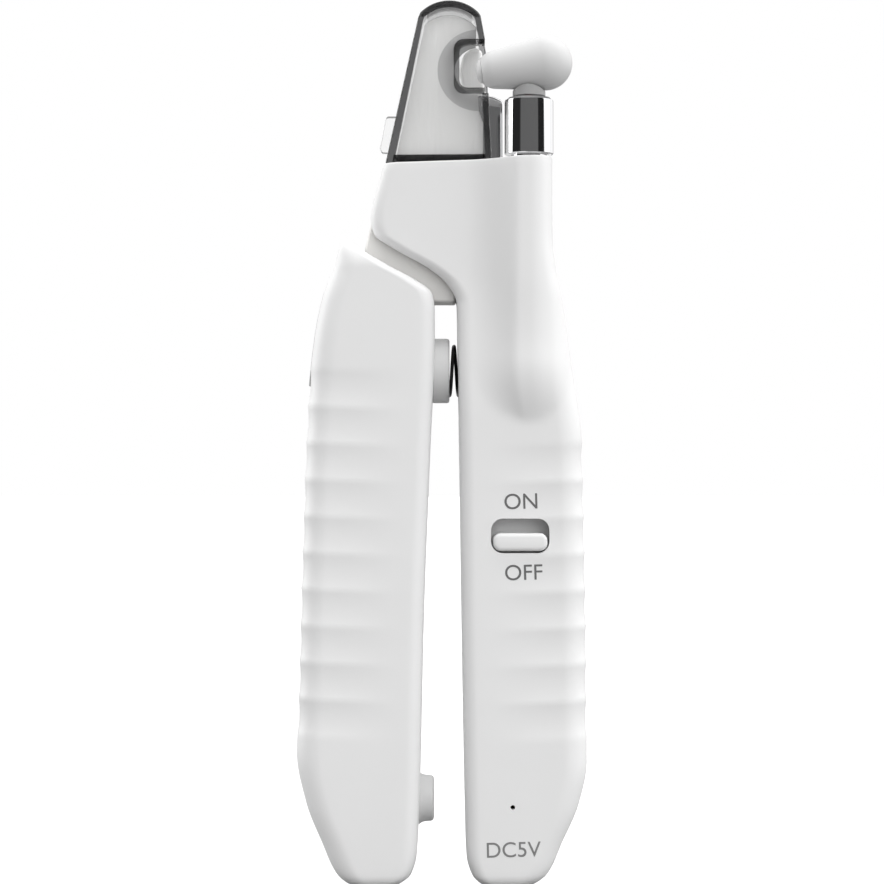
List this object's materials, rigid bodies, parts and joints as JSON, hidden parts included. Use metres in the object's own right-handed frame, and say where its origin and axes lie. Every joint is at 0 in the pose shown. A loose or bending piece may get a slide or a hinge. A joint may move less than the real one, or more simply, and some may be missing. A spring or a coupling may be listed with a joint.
{
  "type": "pet nail clipper with lamp",
  "caption": "White plier-type pet nail clipper with scalloped handles, a steel blade pair under a smoky clear cap, and a rechargeable swivelling lamp on a chrome neck.",
  "frame": {"origin": "under the middle of the object, in the plane of the two handle ends", "axes": "+Z along the handles towards the blades, +X from the lever to the fixed handle, -Y faces the user"},
  "size_m": [0.0489, 0.02, 0.15],
  "materials": {
    "white_plastic": "satin moulded",
    "neck_plastic": "satin moulded",
    "grey_plastic": "matt",
    "smoky_clear": "clear smoky polished",
    "clear": "clear polished",
    "steel": "ground",
    "chrome": "polished",
    "spring_steel": "black oxide",
    "board": "solder resist",
    "battery_foil": "foil pouch",
    "black_plastic": "matt",
    "led": "phosphor",
    "lead_wire": "insulated wire"
  },
  "bodies": {
    "body": {"body_front_shell": "white_plastic", "body_back_shell": "white_plastic", "fixed_blade": "steel", "blade_dowel_1": "steel", "blade_dowel_2": "steel", "pivot_pin": "steel", "housing_screw_1": "steel", "housing_screw_2": "steel", "housing_screw_3": "steel", "switch_body": "black_plastic", "circuit_board": "board", "battery_cell": "battery_foil", "charge_socket": "steel", "socket_tongue": "black_plastic", "indicator_led": "led", "lamp_lead": "lead_wire", "lamp_neck": "chrome", "return_spring": "spring_steel"},
    "lever": {"lever_front_shell": "white_plastic", "lever_back_shell": "white_plastic", "lever_arm": "neck_plastic", "moving_blade": "chrome", "blade_rivet_1": "steel", "blade_rivet_2": "steel", "pivot_bush": "steel", "arm_screw_1": "steel", "arm_screw_2": "steel", "spring_seat": "grey_plastic", "bumper": "grey_plastic"},
    "lock": {"lock_slider": "grey_plastic"},
    "switch": {"switch_knob": "white_plastic"},
    "cap": {"clippings_cap": "smoky_clear"},
    "lamp": {"neck_collar": "grey_plastic", "lamp_shell": "white_plastic", "lamp_lens": "clear", "lamp_reflector": "chrome", "lamp_led": "led"}
  },
  "joints": [
    {"name": "lever_squeeze", "type": "hinge", "parent": "body", "child": "lever", "pos_m": [0.00174, 0, 0.1124], "axis": [0, 1, 0], "range_deg": [-2.9, 9], "deforming": ["return_spring"]},
    {"name": "switch_slide", "type": "slide", "parent": "body", "child": "switch", "axis": [0, 0, 1], "range_m": [0, 0.0022]},
    {"name": "cap_lift", "type": "slide", "parent": "body", "child": "cap", "axis": [0, 0, 1], "range_m": [0, 0.028]},
    {"name": "lamp_swivel", "type": "hinge", "parent": "body", "child": "lamp", "pos_m": [0.01466, -0.00547, 0.133], "axis": [0, 0, 1], "range_deg": [0, 90]},
    {"name": "lock_slide", "type": "slide", "parent": "lever", "child": "lock", "axis": [0.14, 0, 0.9901], "range_m": [0, 0.003]}
  ]
}
